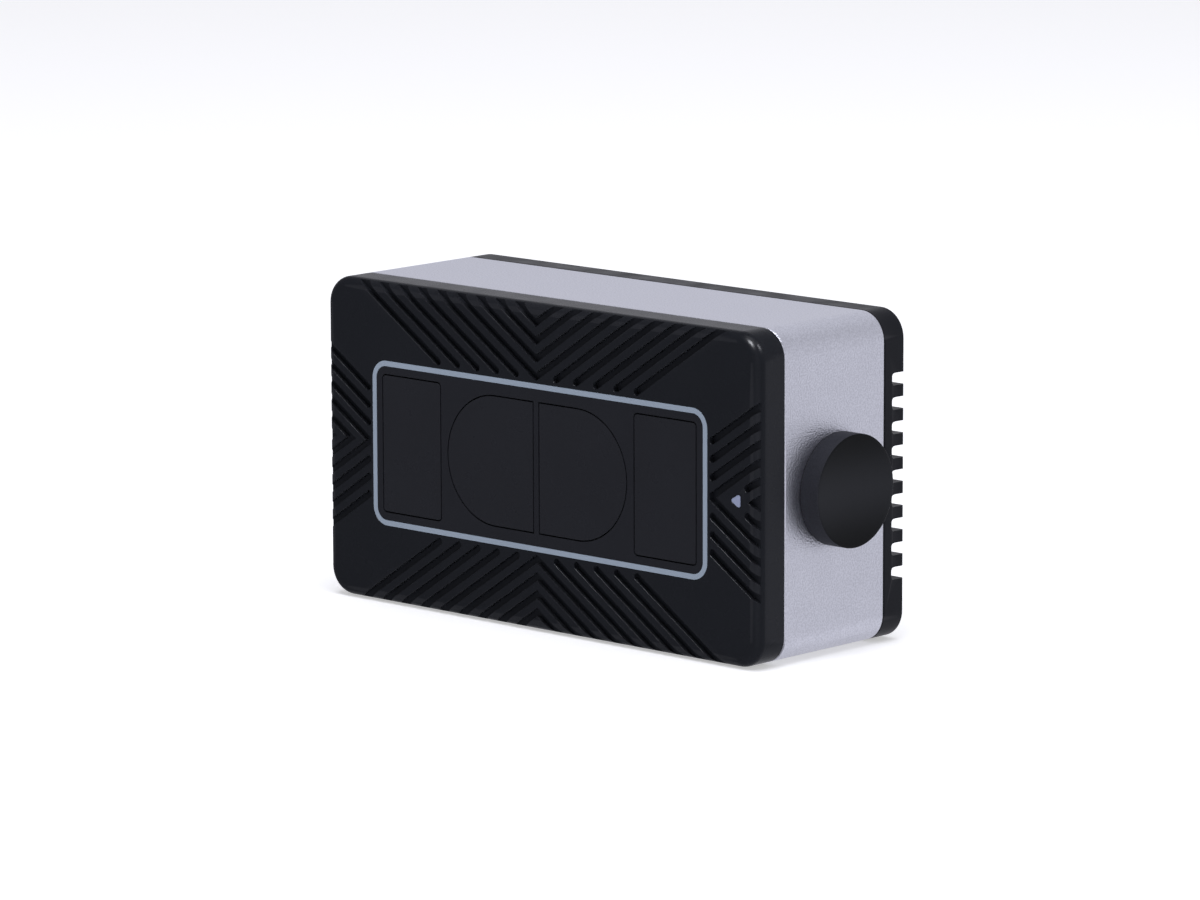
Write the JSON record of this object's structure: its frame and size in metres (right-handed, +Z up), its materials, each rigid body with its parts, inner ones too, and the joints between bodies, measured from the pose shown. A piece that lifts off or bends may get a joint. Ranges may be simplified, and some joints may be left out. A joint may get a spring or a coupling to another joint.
{
  "type": "lidar scanner module",
  "caption": "Compact rectangular lidar scanner with a grooved black bezel, dark windows, a silver housing, a finned rear cover and a capped side connector.",
  "frame": {"origin": "centre of the underside, half way between the front face and the back face", "axes": "+Z up, -Y the way the windows look, +X towards the side connector, along the longest side"},
  "size_m": [0.1114, 0.0394, 0.06],
  "materials": {
    "bezel_black": "satin, fine moulded grain",
    "ring_grey": "satin blue-grey",
    "panel_black": "smooth satin",
    "window_dark": "smooth, passes infrared only",
    "guide_white": "translucent pale lavender",
    "housing_silver": "bead blasted, clear anodised",
    "cover_black": "black anodised, satin",
    "seal_rubber": "matt",
    "screw_steel": "dark zinc",
    "connector_metal": "nickel plated",
    "insulator_black": "moulded",
    "contact_gold": "gold plated",
    "board_green": "solder mask",
    "bearing_steel": "ground and polished",
    "stator_steel": "plain",
    "coil_copper": "enamelled copper",
    "inner_aluminium": "milled",
    "barrel_black": "matt black anodised",
    "lens_glass": "coated",
    "diffuser_white": "frosted",
    "pad_grey": "soft",
    "flex_amber": "film",
    "mirror_face": "polished",
    "magnet_dark": "bonded magnet",
    "encoder_metal": "etched",
    "cage_brass": "pressed",
    "cap_black": "smooth satin"
  },
  "bodies": {
    "housing": {"front_bezel": "bezel_black", "trim_ring": "ring_grey", "face_panel": "panel_black", "left_flood_window": "window_dark", "right_flood_window": "window_dark", "transmit_window": "window_dark", "receive_window": "window_dark", "status_light_guide": "guide_white", "main_housing": "housing_silver", "rear_cover": "cover_black", "front_gasket": "seal_rubber", "rear_gasket": "seal_rubber", "case_screws": "screw_steel", "connector_shell": "connector_metal", "connector_insert": "insulator_black", "connector_pins": "contact_gold", "connector_nut": "connector_metal", "connector_seal": "seal_rubber", "connector_board": "board_green", "bearing_outer_rings": "bearing_steel", "motor_stator": "stator_steel", "motor_coils": "coil_copper", "motor_board": "board_green", "encoder_board": "board_green", "encoder_sensor": "insulator_black", "left_bearing_bracket": "inner_aluminium", "right_bearing_bracket": "inner_aluminium", "chassis_plate": "inner_aluminium", "inner_screws": "screw_steel", "optics_deck": "inner_aluminium", "collimator_barrel": "barrel_black", "collimator_lens": "lens_glass", "laser_diode": "contact_gold", "laser_board": "board_green", "receiver_barrel": "barrel_black", "receiver_lens": "lens_glass", "photodetector": "insulator_black", "receiver_board": "board_green", "light_baffle": "barrel_black", "flood_boards": "board_green", "flood_emitters": "lens_glass", "flood_diffusers": "diffuser_white", "status_board": "board_green", "main_board": "board_green", "board_parts": "insulator_black", "thermal_pad": "pad_grey", "flat_flexes": "flex_amber"},
    "rotor": {"scan_shaft": "bearing_steel", "transmit_mirror": "mirror_face", "receive_mirror": "mirror_face", "divider_disc": "barrel_black", "bearing_inner_rings": "bearing_steel", "motor_rotor_cup": "stator_steel", "motor_magnet_ring": "magnet_dark", "encoder_disc": "encoder_metal"},
    "left_ball_cage": {"left_bearing_balls": "bearing_steel", "left_bearing_cage": "cage_brass"},
    "right_ball_cage": {"right_bearing_balls": "bearing_steel", "right_bearing_cage": "cage_brass"},
    "cap": {"dust_cap": "cap_black"}
  },
  "joints": [
    {"name": "scan_spin", "type": "hinge", "parent": "housing", "child": "rotor", "pos_m": [0, -0.0036, 0.03], "axis": [1, 0, 0], "continuous": true},
    {"name": "left_cage_spin", "type": "hinge", "parent": "housing", "child": "left_ball_cage", "pos_m": [-0.024, -0.0036, 0.03], "axis": [1, 0, 0], "continuous": true},
    {"name": "right_cage_spin", "type": "hinge", "parent": "housing", "child": "right_ball_cage", "pos_m": [0.024, -0.0036, 0.03], "axis": [1, 0, 0], "continuous": true},
    {"name": "cap_pull", "type": "slide", "parent": "housing", "child": "cap", "axis": [1, 0, 0], "range_m": [0, 0.02]}
  ],
  "couplings": [
    {"joint": "left_cage_spin", "follows": "scan_spin", "ratio": 0.3939},
    {"joint": "right_cage_spin", "follows": "scan_spin", "ratio": 0.3939}
  ]
}
